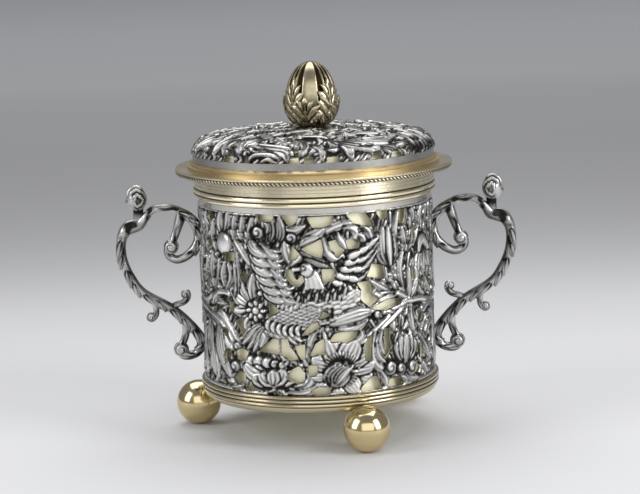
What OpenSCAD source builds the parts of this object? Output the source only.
// Two-handled parcel-gilt cup with a pierced silver sleeve, ball feet and a cover with a bud finial.
// Millimetres, +Z up. The origin is on the table, on the axis of the cup. -Y is the front.

/* [Cup] */
// Outside radius of the gilt cup
cup_r = 53; // [40:0.5:70]
// Thickness of the cup's wall
cup_wall = 1.0; // [0.7:0.1:2]
// Height of the cup from its underside to its lip
cup_h = 110.3; // [90:0.1:150]
// Height of the reeded moulding round the lip
rim_h = 13.3; // [9:0.1:18]
// Thickness of the lip moulding's hollow strip
rim_t = 1.6; // [1:0.1:2.5]
// How far the lip moulding stands out past the sleeve
rim_step = 2.9; // [1.5:0.1:5]

/* [Sleeve] */
// Space between the cup and the sleeve
sleeve_gap = 2.5; // [1:0.1:5]
// Thickness of the pierced sheet
sleeve_t = 1.3; // [1:0.1:3]
// Height of the chased flowers, leaves and birds above the sheet
relief = 1.2; // [0.4:0.1:1.5]
// Height of the plain strip along the top of the sleeve
collar_h = 2.6; // [1.5:0.1:5]
// Size of the piercings, as a share of the drawn size
hole_share = 1; // [0.7:0.05:1.1]

/* [Base] */
// How far the widest reed of the base stands out past the sleeve
base_step = 2.4; // [1:0.1:4]
// Height of the base moulding
base_h = 8.6; // [6:0.1:12]
// Height of the plain band under the reeds
base_band_h = 3; // [2:0.1:5]
// Depth of the grooves between reeds
reed_d = 0.8; // [0.3:0.1:1.2]
// Number of reeds on the base
base_reeds = 3; // [2:1:4]
// Width of the ledge that the cup stands on
ledge_w = 8; // [4:0.5:14]
// Thickness of the ledge
ledge_t = 1.6; // [1:0.1:3]

/* [Feet] */
// Diameter of each ball foot
foot_d = 22.4; // [16:0.2:28]
// How far a ball rises past the underside of the base
foot_let_in = 3.6; // [2:0.1:5]
// How far the middle of a ball lies outside the widest reed
foot_out = 3.7; // [2:0.1:5]
// Angle of the front foot to the right of the front
foot_turn = 19.7; // [0:0.1:60]
// Depth of the worn flat under each ball
foot_flat = 0.2; // [0.1:0.05:0.4]

/* [Handles] */
// Reach of the handle from the sleeve to the middle of its arm
handle_reach = 38.9; // [30:0.1:48]
// Height of the handle's arm, from its lowest scroll to its arch
handle_h = 75.2; // [64:0.1:80]
// Height of the lowest scroll above the base
handle_rise = 9.6; // [6:0.1:14]
// Width of the cast arm, seen from the front
arm_w = 4.3; // [3:0.1:6]
// Depth of the cast arm, front to back
arm_d = 5.4; // [4:0.1:8]
// Diameter of the balls that end the scrolls
volute_d = 6.8; // [5:0.1:8]
// Width of the head on each handle
head_w = 9.8; // [8:0.1:12]
// Height of the head, chin to crown
head_h = 12.6; // [10:0.1:15]
// Depth of the seat that the sleeve cuts in each scroll
handle_seat = 0.7; // [0.4:0.1:1.2]

/* [Cover] */
// How far the brim stands out past the lip moulding
brim_out = 8.5; // [5:0.1:12]
// Thickness of the brim
brim_t = 1.0; // [0.7:0.1:2]
// Diameter of the corded wire under the brim
cord_d = 1.9; // [1.2:0.1:2.5]
// Height of the stepped moulding on the brim
riser_h = 3.3; // [2:0.1:6]
// Depth of the bezel that fits inside the cup
bezel_h = 7; // [4:0.5:12]
// Space between the bezel and the cup
bezel_gap = 0.4; // [0.3:0.05:0.8]
// Thickness of the bezel
bezel_t = 1.0; // [0.7:0.1:2]
// Height of the gilt dome above its riser
dome_h = 12.4; // [8:0.1:20]
// Thickness of the gilt dome
dome_t = 1.2; // [0.8:0.1:2]
// Height of the plain silver band under the pierced cover
band_h = 3.5; // [2:0.1:6]
// Thickness of the band and of the pierced cover
overlay_t = 1.2; // [0.8:0.1:2]
// Space between the gilt dome and the pierced cover at the crown
overlay_gap = 0.3; // [0.2:0.1:1]

/* [Finial] */
// Height of the bud above its collar
bud_h = 32.8; // [24:0.1:40]
// Largest radius of the bud
bud_r = 11.8; // [8:0.1:16]
// Height of the collar under the bud
collar_rise = 2.1; // [1.5:0.1:4]
// Radius of the collar
collar_r = 9.2; // [7:0.1:12]
// Thickness of the leaves that wrap the bud
leaf_t = 0.8; // [0.5:0.1:1.2]
// Height of the tall leaves
tall_leaf_h = 22.5; // [16:0.1:26]
// Height of the short leaves
short_leaf_h = 14; // [9:0.1:18]
// Number of leaves in each ring
leaf_count = 4; // [3:1:6]
// Diameter of the screw that holds the finial
stem_d = 3.2; // [2.5:0.1:4]
// Width across the flats of the square nut
nut_w = 8; // [6:0.1:10]
// Thickness of the nut
nut_t = 2.6; // [2:0.1:4]

/* [Fits] */
// Space left at each seat that lifts apart
seat_gap = 0.3; // [0.2:0.05:0.5]
// Space left at each soldered seat
solder_gap = 0.1; // [0.05:0.05:0.2]

/* [Hidden] */
$fn = 96;

silver = "#b9bcbf";
dark_silver = "#8f9296";
gilt = "#d9c078";
cut = 2; // how far a cutting shape runs past what it cuts

// Radii, from the cup outwards
cup_in = cup_r - cup_wall;
sleeve_in = cup_r + sleeve_gap;
sleeve_r = sleeve_in + sleeve_t;
base_r = sleeve_r + base_step;
rim_r = sleeve_r + rim_step;
brim_r = rim_r + brim_out;
foot_circle_r = base_r + foot_out;

// Heights, from the table upwards
base_z = foot_d - foot_let_in;
base_top = base_z + base_h;
ledge_top = base_z + ledge_t;
cup_z = ledge_top + seat_gap;
lip_z = cup_z + cup_h;
rim_z = lip_z - rim_h;
sleeve_top = rim_z - seat_gap;
collar_z = sleeve_top - collar_h;
sheet_h = collar_z - base_top;
brim_z = lip_z + seat_gap;
brim_top = brim_z + brim_t;
riser_top = brim_top + riser_h;
band_top = riser_top + band_h;
dome_crown = riser_top + dome_h;
crown_in = dome_crown + overlay_gap;
crown = crown_in + overlay_t;
bud_z = crown + collar_rise;

// Base moulding, as a turned outline that can be grown for the seats cut by it
reed_h = (base_h - base_band_h) / base_reeds;
base_bore = cup_r + sleeve_gap / 4;
ledge_lap = 1.9; // how far the ledge is let into the base moulding
ledge_seat_r = base_bore + ledge_lap;
base_cove = 2.4; // how far the plain band curves in at its foot
function reed_stack(r, z, h, count) =
  [for (i = [0:count - 1], a = [-90:30:90])
    if (a > -90 || i == 0) [r - reed_d * (1 - cos(a)), z + h * (i + 0.5) + h / 2 * sin(a)]];
function ovolo(r, z, h, inset) =
  [for (a = [0:18:90]) [r - inset * (1 - sin(a)), z + h * (1 - cos(a))]];

module base_outline(grow = 0) {
  band = ovolo(base_r - reed_d + grow, base_z - grow, base_band_h, base_cove);
  reeds = reed_stack(base_r + grow, base_z + base_band_h, reed_h, base_reeds);
  polygon(concat([[base_bore, base_z - grow]], band, reeds, [[base_bore, base_top]]));
}

module base_moulding() color(gilt) difference() {
  rotate_extrude() base_outline();
  translate([0, 0, base_z - cut]) cylinder(r = ledge_seat_r, h = ledge_t + cut);
}

module base_ledge() color(gilt) translate([0, 0, base_z]) difference() {
  cylinder(r = ledge_seat_r - solder_gap, h = ledge_t);
  translate([0, 0, -cut]) cylinder(r = cup_r - ledge_w, h = ledge_t + 2 * cut);
}

module ball_foot(angle) color(gilt) difference() {
  rotate([0, 0, angle - 90]) translate([foot_circle_r, 0, foot_d / 2 - foot_flat]) sphere(d = foot_d);
  rotate_extrude() base_outline(solder_gap);
  translate([0, 0, -foot_d]) cylinder(r = foot_circle_r + foot_d, h = foot_d);
}

// Handle scrolls: share of the reach, share of the height, share of the arm's thickness.
// A scroll or spur ends in a ball, whose middle is the last point.
upper_path = [[0.615, 0.968, 0.95], [0.55, 0.99, 0.95], [0.445, 1, 0.95], [0.31, 0.99, 1],
  [0.155, 0.95, 1.05], [0.045, 0.888, 1.05], [0, 0.81, 1.05], [0.035, 0.74, 1.05], [0.14, 0.68, 1.05],
  [0.285, 0.655, 1], [0.392, 0.69, 0.9], [0.345, 0.742]];
lower_path = [[0.622, 0.963, 0.95], [0.68, 0.925, 1], [0.735, 0.882, 1.15], [0.81, 0.862, 1.3],
  [0.9, 0.848, 1.35], [0.965, 0.8, 1.15], [0.985, 0.73, 1.1], [0.96, 0.64, 1.1], [0.885, 0.545, 1.1],
  [0.73, 0.435, 1.1], [0.36, 0.318, 1.1], [0.105, 0.185, 1.15], [0, 0.095, 1.1], [0.05, 0.032, 1],
  [0.165, 0.005, 0.95], [0.28, 0.045]];
upper_strut_path = [[0.2, 0.95, 0.8], [0.225, 0.9, 0.75], [0.26, 0.835, 0.5], [0.33, 0.76, 0.5]];
lower_strut_path = [[0.205, 0.235, 0.8], [0.2, 0.18, 0.65], [0.225, 0.12, 0.5], [0.275, 0.07, 0.5]];
inner_spur_path = [[0.4, 0.335, 0.5], [0.29, 0.357, 0.6], [0.22, 0.375, 0.6], [0.19, 0.425]];
outer_spur_path = [[0.6, 0.39, 0.5], [0.585, 0.335, 0.6], [0.59, 0.3, 0.55], [0.65, 0.265]];
neck_at = [0.735, 0.905];
head_at = [0.765, 1.068];
neck_r = 2.3;
spur_ball_d = arm_w * 0.8;
bar_depth = arm_d * 0.55; // most that a bar reaches to the front and to the back
seat_share = 1.05; // share of the arm's thickness where it meets the sleeve

handle_x = sleeve_r - handle_seat + arm_w * seat_share / 2;
handle_z = base_top + handle_rise;
function placed(p) = [handle_x + p[0] * handle_reach, handle_z + p[1] * handle_h];
function swept(p) = [placed(p)[0], placed(p)[1], p[2] * arm_w / 2];

// Sleeve ornament. Each motif is placed by its angle from the front and its share of the sheet's height.
// Flowers: angle, height share, radius
flowers = [[10, 0.15, 11.5], [-27, 0.13, 9], [-32, 0.48, 8], [-50, 0.81, 6.5], [46, 0.25, 8.5],
  [63, 0.72, 8]];
// Acanthus leaves: angle, height share, length, width, lean
leaves = [
  [-62, 0.35, 45, 11, 336], [-63, 0.21, 31, 18, 285], [-78, 0.2, 28, 14, 287], [-60, 0.89, 20, 8, 110],
  [-42, 0.84, 26, 7, 298], [-61, 0.64, 19, 8, 106], [-74, 0.61, 24, 8, 97], [-82, 0.62, 23, 8, 100],
  [-74, 0.87, 23, 9, 75], [14, 0.42, 28, 8, 358], [34, 0.54, 26, 8, 159],
  [44, 0.74, 45, 9, 95], [51, 0.65, 30, 7, 96], [60, 0.58, 21, 7, 79], [54, 0.83, 29, 8, 80],
  [34, 0.82, 30, 11, 105], [74, 0.82, 28, 9, 96], [82, 0.84, 27, 7, 86], [57, 0.35, 25, 9, 302],
  [69, 0.23, 33, 14, 261], [80, 0.26, 36, 11, 265], [-19, 0.87, 22, 7, 262], [-1, 0.85, 19, 8, 219],
  [89, 0.5, 28, 8, 88]];
// Spread bird: its parts as angle, height share, length, width, lean
bird = [[-4, 0.49, 48, 13, 15], [-36, 0.33, 20, 9, 35], [-25, 0.7, 44, 15, 112], [15, 0.7, 30, 17, 38],
  [3, 0.63, 18, 8, 130]];
// Piercings between the motifs: angle, height share, length, width, lean
piercings = [
  [-47.5, 0.749, 7.9, 5.5, 9], [-38, 0.652, 5.3, 3.9, -12], [-22.5, 0.477, 4.6, 3.3, 83],
  [-24, 0.263, 11.6, 4.2, 31], [-16, 0.266, 7, 4.2, -74], [-9, 0.254, 5.2, 2.9, -69],
  [-0.5, 0.27, 8.6, 3.9, 60], [12.5, 0.317, 12.6, 4, 6], [25, 0.251, 11, 3.6, -90],
  [34.5, 0.268, 13.9, 5.2, 78], [25, 0.541, 10.5, 7.9, -84], [31.5, 0.661, 11.5, 6.7, -15],
  [35, 0.472, 14, 3, 12], [-12, 0.645, 9.8, 3.9, -24], [5, 0.654, 8.2, 6.6, 27],
  [-0.5, 0.81, 8.3, 6, 67], [9.5, 0.798, 6.5, 5.4, -76], [18, 0.827, 6.3, 5, 15], [2, 0.958, 10, 4.3, -1],
  [22.5, 0.958, 11.4, 3.9, -23], [-26, 0.971, 7.5, 3.3, 0], [-48.5, 0.965, 5, 3.9, -41],
  [-63, 0.949, 7, 5.7, 82], [47.5, 0.944, 7.4, 5.3, -86], [35.5, 0.965, 8, 4.4, 3],
  [54, 0.586, 10, 3.8, 85], [-14, 0.81, 9, 5.7, 89], [-41.5, 0.37, 7.9, 4, -67],
  [-46, 0.492, 10.6, 4.9, -8], [-44, 0.082, 6.5, 2.9, 6], [-43.5, 0.207, 6.2, 3.3, -20],
  [-37, 0.03, 4.9, 3, 15], [26, 0.036, 7.5, 4, -1], [-12, 0.113, 6.2, 5.3, 36], [-4.5, 0.137, 4.1, 3.3, 87],
  [38, 0.029, 5.6, 2.9, 6], [0.5, 0.023, 5.1, 1.9, 10], [-18, 0.026, 4.2, 2.6, 10],
  [-58, 0.648, 9.4, 2.3, 79], [-69, 0.602, 9.4, 2.1, 79], [-78, 0.621, 12.1, 2.1, 87],
  [-64.5, 0.813, 5.1, 4, -7], [-73, 0.824, 7.9, 2.8, -87], [-79.5, 0.885, 8.9, 2.5, -87],
  [-59.5, 0.443, 6.8, 3.5, 29], [-52, 0.32, 5.4, 2.9, -29], [-51, 0.189, 7.5, 4, 58],
  [-68.5, 0.21, 11, 2.8, -89], [-79.5, 0.206, 12, 2.5, 90], [-53.5, 0.038, 4.1, 3.5, -6],
  [-66.5, 0.046, 4.8, 3.9, 15], [-83.5, 0.387, 6.2, 2.5, 19], [61, 0.349, 6.4, 4.8, 17],
  [60.5, 0.155, 11, 3.1, 90], [74, 0.223, 12.9, 2.9, -87], [86, 0.311, 6, 2.5, -89],
  [63.5, 0.53, 5.4, 4.4, 27], [73, 0.599, 7.5, 3.7, 55], [64, 0.89, 8, 2.8, -88],
  [78.5, 0.875, 11.1, 2.3, 87], [85.5, 0.686, 8, 2, 90], [80, 0.521, 6.8, 3, 7], [42.5, 0.63, 10, 2.4, -88],
  [47, 0.813, 10, 2.6, 89], [54.5, 0.828, 9.1, 2.5, 88], [55, 0.08, 6.6, 4.3, 55],
  [72.5, 0.058, 5.4, 4.1, -87], [-4, 0.37, 8, 2.2, 36], [-13.5, 0.966, 5.5, 3, 0]];
drawn_r = 56.8; // radius and height of the sheet that the layout was drawn for
drawn_h = 87.4;
motif_root = 0.8; // share of the radius where an outline starts, so that a wide motif wraps round
petals = 12;
petal_dip = 0.14; // share of the radius between the tip of a petal and the notch beside it
leaf_bend = 1 / 8; // share of its width that a leaf bows to one side

function leaf_outline(l, w, bend) = let (n = 4)
  concat([for (i = [0:n]) [l * (i / n - 0.5), w / 2 * sin(180 * i / n) + bend * sin(180 * i / n)]],
    [for (i = [n - 1:-1:1]) [l * (i / n - 0.5), -w / 2 * sin(180 * i / n) + bend * sin(180 * i / n)]]);
function petal_outline(r) =
  [for (a = [0:180 / petals:359])
    let (s = r * (1 - petal_dip * (1 - cos(petals * a)))) [s * cos(a), s * sin(a)]];

// Puts a flat outline on the sleeve, facing out, from one radius to another
module on_sleeve(angle, share, r0, r1)
  rotate([0, 0, angle]) translate([0, -r0, base_top + share * sheet_h]) rotate([90, 0, 0])
    linear_extrude(r1 - r0) children();

layout_scale = min(sleeve_r / drawn_r, sheet_h / drawn_h);
module motif(m, share = 1) let (l = m[2] * layout_scale * share, w = m[3] * layout_scale * share)
  rotate(m[4]) polygon(leaf_outline(l, w, w * leaf_bend));

module sleeve_sheet() translate([0, 0, base_top]) difference() {
  cylinder(r = sleeve_r, h = sheet_h);
  translate([0, 0, -cut]) cylinder(r = sleeve_in, h = sheet_h + 2 * cut);
}

module raised(angle, share) intersection() {
  on_sleeve(angle, share, sleeve_in * motif_root, sleeve_r + relief + cut) children();
  translate([0, 0, base_top + solder_gap]) cylinder(r = sleeve_r + relief, h = sheet_h - 2 * solder_gap);
  difference() {
    translate([0, 0, base_top]) cylinder(r = brim_r, h = sheet_h);
    translate([0, 0, base_top - cut]) cylinder(r = sleeve_in + sleeve_t / 2, h = sheet_h + 2 * cut);
  }
}

module pierced_sleeve() color(silver) difference() {
  union() {
    sleeve_sheet();
    for (side = [0, 180]) {
      for (f = flowers) raised(f[0] + side, f[1]) polygon(petal_outline(f[2] * layout_scale));
      for (m = concat(leaves, bird)) raised(m[0] + side, m[1]) motif(m);
    }
  }
  for (side = [0, 180], p = piercings)
    on_sleeve(p[0] + side, p[1], sleeve_in - cut, sleeve_r + relief + cut) motif(p, hole_share);
}

module sleeve_collar() color(silver) translate([0, 0, collar_z]) difference() {
  cylinder(r = sleeve_r + relief / 2, h = collar_h);
  translate([0, 0, -cut]) cylinder(r = sleeve_in, h = collar_h + 2 * cut);
}

// Smooth curve through a list of points
function between(a, b, c, d, t) =
  b + t / 2 * (c - a) + t * t * (a - 2.5 * b + 2 * c - d / 2) + t * t * t * (1.5 * (b - c) + (d - a) / 2);
function curve(p, steps) = let (n = len(p) - 1)
  concat([for (i = [0:n - 1], j = [0:steps - 1])
    between(i > 0 ? p[i - 1] : 2 * p[0] - p[1], p[i], p[i + 1],
      i < n - 1 ? p[i + 2] : 2 * p[n] - p[n - 1], j / steps)], [p[n]]);

// Half width at each step of a ball that ends a bar, with the step's place along the bar's last stretch
function ball_steps(from, to, r) = let (way = (to - from) / norm(to - from))
  [for (a = [-50:20:70]) concat(to + way * r * sin(a), [r * cos(a)])];
bar_steps = 3;
bar_sides = 10;
strut_steps = 3;
strut_sides = 8;
// Bar of oval section swept along a curve in the handle's plane, with or without a ball at its end
module bar(path, grow = 0, ball_d = 0, steps = bar_steps, sides = bar_sides) {
  n = len(path) - 1;
  widths = [for (i = [0:n]) swept([path[i][0], path[i][1], path[ball_d > 0 ? min(i, n - 1) : i][2]])];
  whole = curve(widths, steps);
  ball = ball_d == 0 ? [] : ball_steps(placed(path[n - 1]), placed(path[n]), ball_d / 2);
  c = ball_d == 0 ? whole : concat([for (i = [0:(n - 1) * steps]) whole[i]], ball);
  last = len(c) - 1;
  rings = [for (i = [0:last])
    let (t = c[min(i + 1, last)] - c[max(i - 1, 0)], l = norm([t[0], t[1]]), n = [-t[1], t[0]] / l)
    for (k = [0:sides - 1])
      let (a = 360 * k / sides, w = c[i][2] + grow,
        d = max(w, min(c[i][2] * arm_d / arm_w, bar_depth) + grow))
      [c[i][0] + n[0] * w * cos(a), d * sin(a), c[i][1] + n[1] * w * cos(a)]];
  sheath = [for (i = [0:last - 1], k = [0:sides - 1])
    let (a = i * sides + k, b = i * sides + (k + 1) % sides)
    each [[a, b, a + sides], [b, b + sides, a + sides]]];
  polyhedron(rings, concat(sheath, [[for (k = [sides - 1:-1:0]) k]],
    [[for (k = [0:sides - 1]) last * sides + k]]));
}

module upper_scroll_form(grow = 0) bar(upper_path, grow, volute_d);

module lower_scroll_form(grow = 0) bar(lower_path, grow, volute_d);

// Handles are made on the right, and mirrored for the left
module mirrored(side) mirror([side < 0 ? 1 : 0, 0, 0]) children();

module past_sleeve() difference() {
  children();
  translate([0, 0, base_top]) cylinder(r = sleeve_r + solder_gap, h = sheet_h);
}

module upper_scroll(side) color(dark_silver) mirrored(side) past_sleeve() upper_scroll_form();

module lower_scroll(side) color(dark_silver) mirrored(side) past_sleeve() lower_scroll_form();

module head_form() {
  neck = placed(neck_at);
  head = placed(head_at);
  tilt = atan2(head[0] - neck[0], head[1] - neck[1]);
  neck_l = norm(head - neck) - head_h / 3;
  egg = [for (a = [-75:15:90]) [head_w / 2 * cos(a), neck_l + head_h / 3 + head_h / 2 * sin(a)]];
  translate([neck[0], 0, neck[1]]) rotate([0, tilt, 0])
    rotate_extrude() polygon(concat([[0, 0], [neck_r, 0], [neck_r, neck_l - head_h / 8]], egg));
}

module head(side) color(dark_silver) mirrored(side) difference() {
  head_form();
  lower_scroll_form(solder_gap);
  upper_scroll_form(solder_gap);
}

module strut(side, path) color(dark_silver) mirrored(side) difference() {
  bar(path, 0, 0, strut_steps, strut_sides);
  children();
}

module spur(side, path) color(dark_silver) mirrored(side) difference() {
  bar(path, 0, spur_ball_d, strut_steps, strut_sides);
  lower_scroll_form(solder_gap);
}

// Gilt cup and its lip moulding
module cup_body() color(gilt) translate([0, 0, cup_z]) difference() {
  cylinder(r = cup_r, h = cup_h);
  translate([0, 0, cup_wall]) cylinder(r = cup_in, h = cup_h);
}

rim_reed_h = 2.5;
rim_reeds = 2;
module rim_moulding() color(gilt) rotate_extrude() {
  reeds = reed_stack(rim_r, rim_z, rim_reed_h, rim_reeds);
  band_z = rim_z + rim_reeds * rim_reed_h;
  hollow_r = rim_r - reed_d - rim_t;
  polygon(concat([[cup_r + solder_gap, lip_z - rim_t], [hollow_r, lip_z - rim_t], [hollow_r, rim_z]], reeds,
    [[rim_r - reed_d / 2, band_z + reed_d / 2], [rim_r - reed_d, lip_z - rim_t], [rim_r - 2 * reed_d, lip_z],
     [cup_r + solder_gap, lip_z]]));
}

// Cover, from the brim upwards
bezel_r = cup_in - bezel_gap;
dome_step = 0.6; // how far the dome stands out past the sleeve
band_space = 0.8; // space between the dome and the silver band
riser_step = 2.8; // how far the riser stands out past the band
riser_fillet = 1.2;
riser_lip = 0.4;
dome_r = sleeve_r + dome_step;
overlay_r = dome_r + overlay_t + band_space;
riser_r = overlay_r + riser_step;
dome_power = 2.5; // 2 is an ellipse, more is squarer

module cover_brim() color(gilt) rotate_extrude()
  polygon([[bezel_r - bezel_t, brim_z], [brim_r, brim_z], [brim_r, brim_top - brim_t / 3],
    [brim_r - brim_t / 3, brim_top], [bezel_r - bezel_t, brim_top]]);

module corded_edge() color(gilt) translate([0, 0, brim_z - cord_d / 2 - solder_gap / 2]) rotate_extrude()
  translate([brim_r - cord_d / 2, 0]) circle(d = cord_d);

module cover_bezel() color(gilt) translate([0, 0, brim_z - bezel_h]) difference() {
  cylinder(r = bezel_r, h = bezel_h);
  translate([0, 0, -cut]) cylinder(r = bezel_r - bezel_t, h = bezel_h + 2 * cut);
}

module cover_riser() color(gilt) rotate_extrude()
  polygon([[dome_r + solder_gap, brim_top], [riser_r, brim_top], [riser_r, brim_top + 0.4 * riser_h],
    [riser_r - riser_fillet, brim_top + 0.5 * riser_h], [riser_r - riser_fillet, brim_top + 0.7 * riser_h],
    [overlay_r + riser_lip, riser_top], [dome_r + solder_gap, riser_top]]);

// Points of a flattened dome from its rim to its crown
function dome_curve(r, z, h) = [for (a = [0:9:90])
  [r * pow(max(cos(a), 0), 2 / dome_power), z + h * pow(sin(a), 2 / dome_power)]];
function backwards(list) = [for (i = [len(list) - 1:-1:0]) list[i]];
stem_bore = stem_d / 2 + solder_gap;

module cover_dome() color(gilt) difference() {
  rotate_extrude() polygon(concat([[dome_r, brim_top]], dome_curve(dome_r, riser_top, dome_h),
    backwards(dome_curve(dome_r - dome_t, riser_top, dome_h - dome_t)), [[dome_r - dome_t, brim_top]]));
  translate([0, 0, brim_top]) cylinder(r = stem_bore, h = dome_crown);
}

module overlay_band() color(silver) translate([0, 0, riser_top]) difference() {
  cylinder(r = overlay_r, h = band_h);
  translate([0, 0, -cut]) cylinder(r = overlay_r - overlay_t, h = band_h + 2 * cut);
}

// Rings of piercings and of raised leaves in the cover: share of the radius, how many, length and width as
// shares of the radius, lean from the radius, angle of the first
overlay_rings = [[0.33, 9, 0.15, 0.07, 60, 8], [0.55, 9, 0.18, 0.08, 115, 20],
  [0.74, 10, 0.19, 0.08, 60, 28], [0.925, 20, 0.13, 0.05, 90, 9]];
overlay_leaves = [[0.45, 9, 0.28, 0.13, 55, 24], [0.66, 9, 0.3, 0.15, 120, 0],
  [0.85, 10, 0.32, 0.14, 65, 10]];
overlay_relief = 1; // height of the raised leaves

module overlay_shell(rise) rotate_extrude()
  polygon(concat(dome_curve(overlay_r + rise, band_top, crown + rise - band_top),
    backwards(dome_curve(overlay_r - overlay_t, band_top, crown_in - band_top))));

module round_the_cover(rings) for (ring = rings, i = [0:ring[1] - 1])
  rotate([0, 0, ring[5] + 360 / ring[1] * i]) translate([0, -ring[0] * overlay_r, band_top])
    rotate([0, 0, 90 - ring[4]]) linear_extrude(crown - band_top + cut)
      polygon(leaf_outline(ring[2] * overlay_r, ring[3] * overlay_r, ring[3] * overlay_r * leaf_bend));

module pierced_overlay() color(silver) difference() {
  union() {
    overlay_shell(0);
    intersection() {
      overlay_shell(overlay_relief);
      round_the_cover(overlay_leaves);
    }
  }
  translate([0, 0, band_top - cut]) cylinder(r = stem_bore, h = crown);
  translate([0, 0, -cut]) round_the_cover(overlay_rings);
}

// Finial
function bud_radius(t) = bud_r * pow(sin(180 * pow(t, 0.76)), 0.6);
bud_steps = 14;
bud_base = 0.06; // share of the egg shape cut off at its foot
bud_tip = 0.98;
leaf_reach = 0.86; // share of the bud that leaves may cover
function bud_curve(out, top) = [for (i = [0:bud_steps])
  let (t = bud_base + (top - bud_base) * i / bud_steps)
    [bud_radius(t) + out, bud_z + (t - bud_base) * bud_h]];
screw_end = bud_z + bud_h / 2;
washer_t = 0.8;
washer_r = nut_w * 0.62;
screw_past = 1; // how far the screw runs past the nut
collar_lip = 0.5; // height of the collar's lower edge
collar_step = 0.9; // height of the step above it
collar_waist = 0.8; // radius of the step as a share of the collar's
collar_neck = 0.72; // radius under the bud as a share of the collar's
washer_z = dome_crown - dome_t - solder_gap - washer_t;
nut_z = washer_z - nut_t;

module finial_collar() color(gilt) difference() {
  rotate_extrude() polygon([[0, crown - solder_gap], [collar_r, crown - solder_gap],
    [collar_r, crown + collar_lip], [collar_r * collar_waist, crown + collar_step],
    [collar_r * collar_neck, bud_z - solder_gap], [0, bud_z - solder_gap]]);
  translate([0, 0, crown_in]) cylinder(r = stem_bore, h = bud_h);
  rotate_extrude() polygon(concat([[0, band_top]],
    backwards(dome_curve(overlay_r + solder_gap, band_top, crown + solder_gap - band_top))));
}

module finial_bud() color(gilt) difference() {
  rotate_extrude()
    polygon(concat([[0, bud_z]], bud_curve(0, bud_tip), [[0, bud_z + bud_h * (1 - bud_base)]]));
  translate([0, 0, bud_z - cut]) cylinder(r = stem_bore, h = screw_end - bud_z + cut);
}

// Lobed leaf standing on its base, with its point up
lobe_notch = 0.72; // width of a leaf at the notch between two lobes, as a share
function leaf_half(w, i, n) = w / 2 * sin(30 + 150 * i / n) * (i % 3 == 2 ? lobe_notch : 1);
function lobed_leaf(w, h) = let (n = 12)
  concat([for (i = [0:n]) [leaf_half(w, i, n), h * i / n]],
    [for (i = [n - 1:-1:0]) [-leaf_half(w, i, n), h * i / n]]);

leaf_reach_r = bud_r + 4 * leaf_t;
module leaf_ring(inner, h, w, turn_by) intersection() {
  rotate_extrude()
    polygon(concat(bud_curve(inner + leaf_t, leaf_reach), backwards(bud_curve(inner, leaf_reach))));
  union() {
    cylinder(r = leaf_reach_r, h = bud_z + h / 6);
    for (i = [0:leaf_count - 1]) rotate([0, 0, turn_by + 360 / leaf_count * i]) translate([0, 0, bud_z])
      rotate([90, 0, 0]) linear_extrude(leaf_reach_r) polygon(lobed_leaf(w, h));
  }
}

leaf_fill = 0.8; // share of the bud's girth that a ring of leaves covers
leaf_turn = 57; // angle of the first tall leaf from the front
leaf_w = leaf_fill * 2 * PI * bud_r / leaf_count;
module tall_leaves() color(gilt) leaf_ring(solder_gap, tall_leaf_h, leaf_w, leaf_turn);

module short_leaves() color(gilt)
  leaf_ring(leaf_t + 2 * solder_gap, short_leaf_h, leaf_w, leaf_turn + 180 / leaf_count);

module finial_screw() color(gilt) translate([0, 0, nut_z - screw_past])
  cylinder(d = stem_d, h = screw_end - solder_gap - nut_z + screw_past);

module finial_washer() color(gilt) translate([0, 0, washer_z]) difference() {
  cylinder(r = washer_r, h = washer_t);
  translate([0, 0, -cut]) cylinder(r = stem_bore, h = washer_t + 2 * cut);
}

module finial_nut() color(gilt) translate([0, 0, nut_z]) difference() {
  translate([-nut_w / 2, -nut_w / 2, 0]) cube([nut_w, nut_w, nut_t - solder_gap]);
  translate([0, 0, -cut]) cylinder(r = stem_bore, h = nut_t + 2 * cut);
}

base_moulding();
base_ledge();
ball_foot(foot_turn);  // ball_foot_front
ball_foot(foot_turn + 120);  // ball_foot_back
ball_foot(foot_turn + 240);  // ball_foot_left
pierced_sleeve();
sleeve_collar();
upper_scroll(1);  // right_upper_scroll
lower_scroll(1);  // right_lower_scroll
head(1);  // right_head
strut(1, upper_strut_path) upper_scroll_form(solder_gap);  // right_upper_strut
strut(1, lower_strut_path) lower_scroll_form(solder_gap);  // right_lower_strut
spur(1, inner_spur_path);  // right_inner_spur
spur(1, outer_spur_path);  // right_outer_spur
upper_scroll(-1);  // left_upper_scroll
lower_scroll(-1);  // left_lower_scroll
head(-1);  // left_head
strut(-1, upper_strut_path) upper_scroll_form(solder_gap);  // left_upper_strut
strut(-1, lower_strut_path) lower_scroll_form(solder_gap);  // left_lower_strut
spur(-1, inner_spur_path);  // left_inner_spur
spur(-1, outer_spur_path);  // left_outer_spur
cup_body();
rim_moulding();
cover_brim();
cover_riser();
cover_dome();
cover_bezel();
corded_edge();
overlay_band();
pierced_overlay();
finial_collar();
finial_bud();
tall_leaves();
short_leaves();
finial_screw();
finial_washer();
finial_nut();
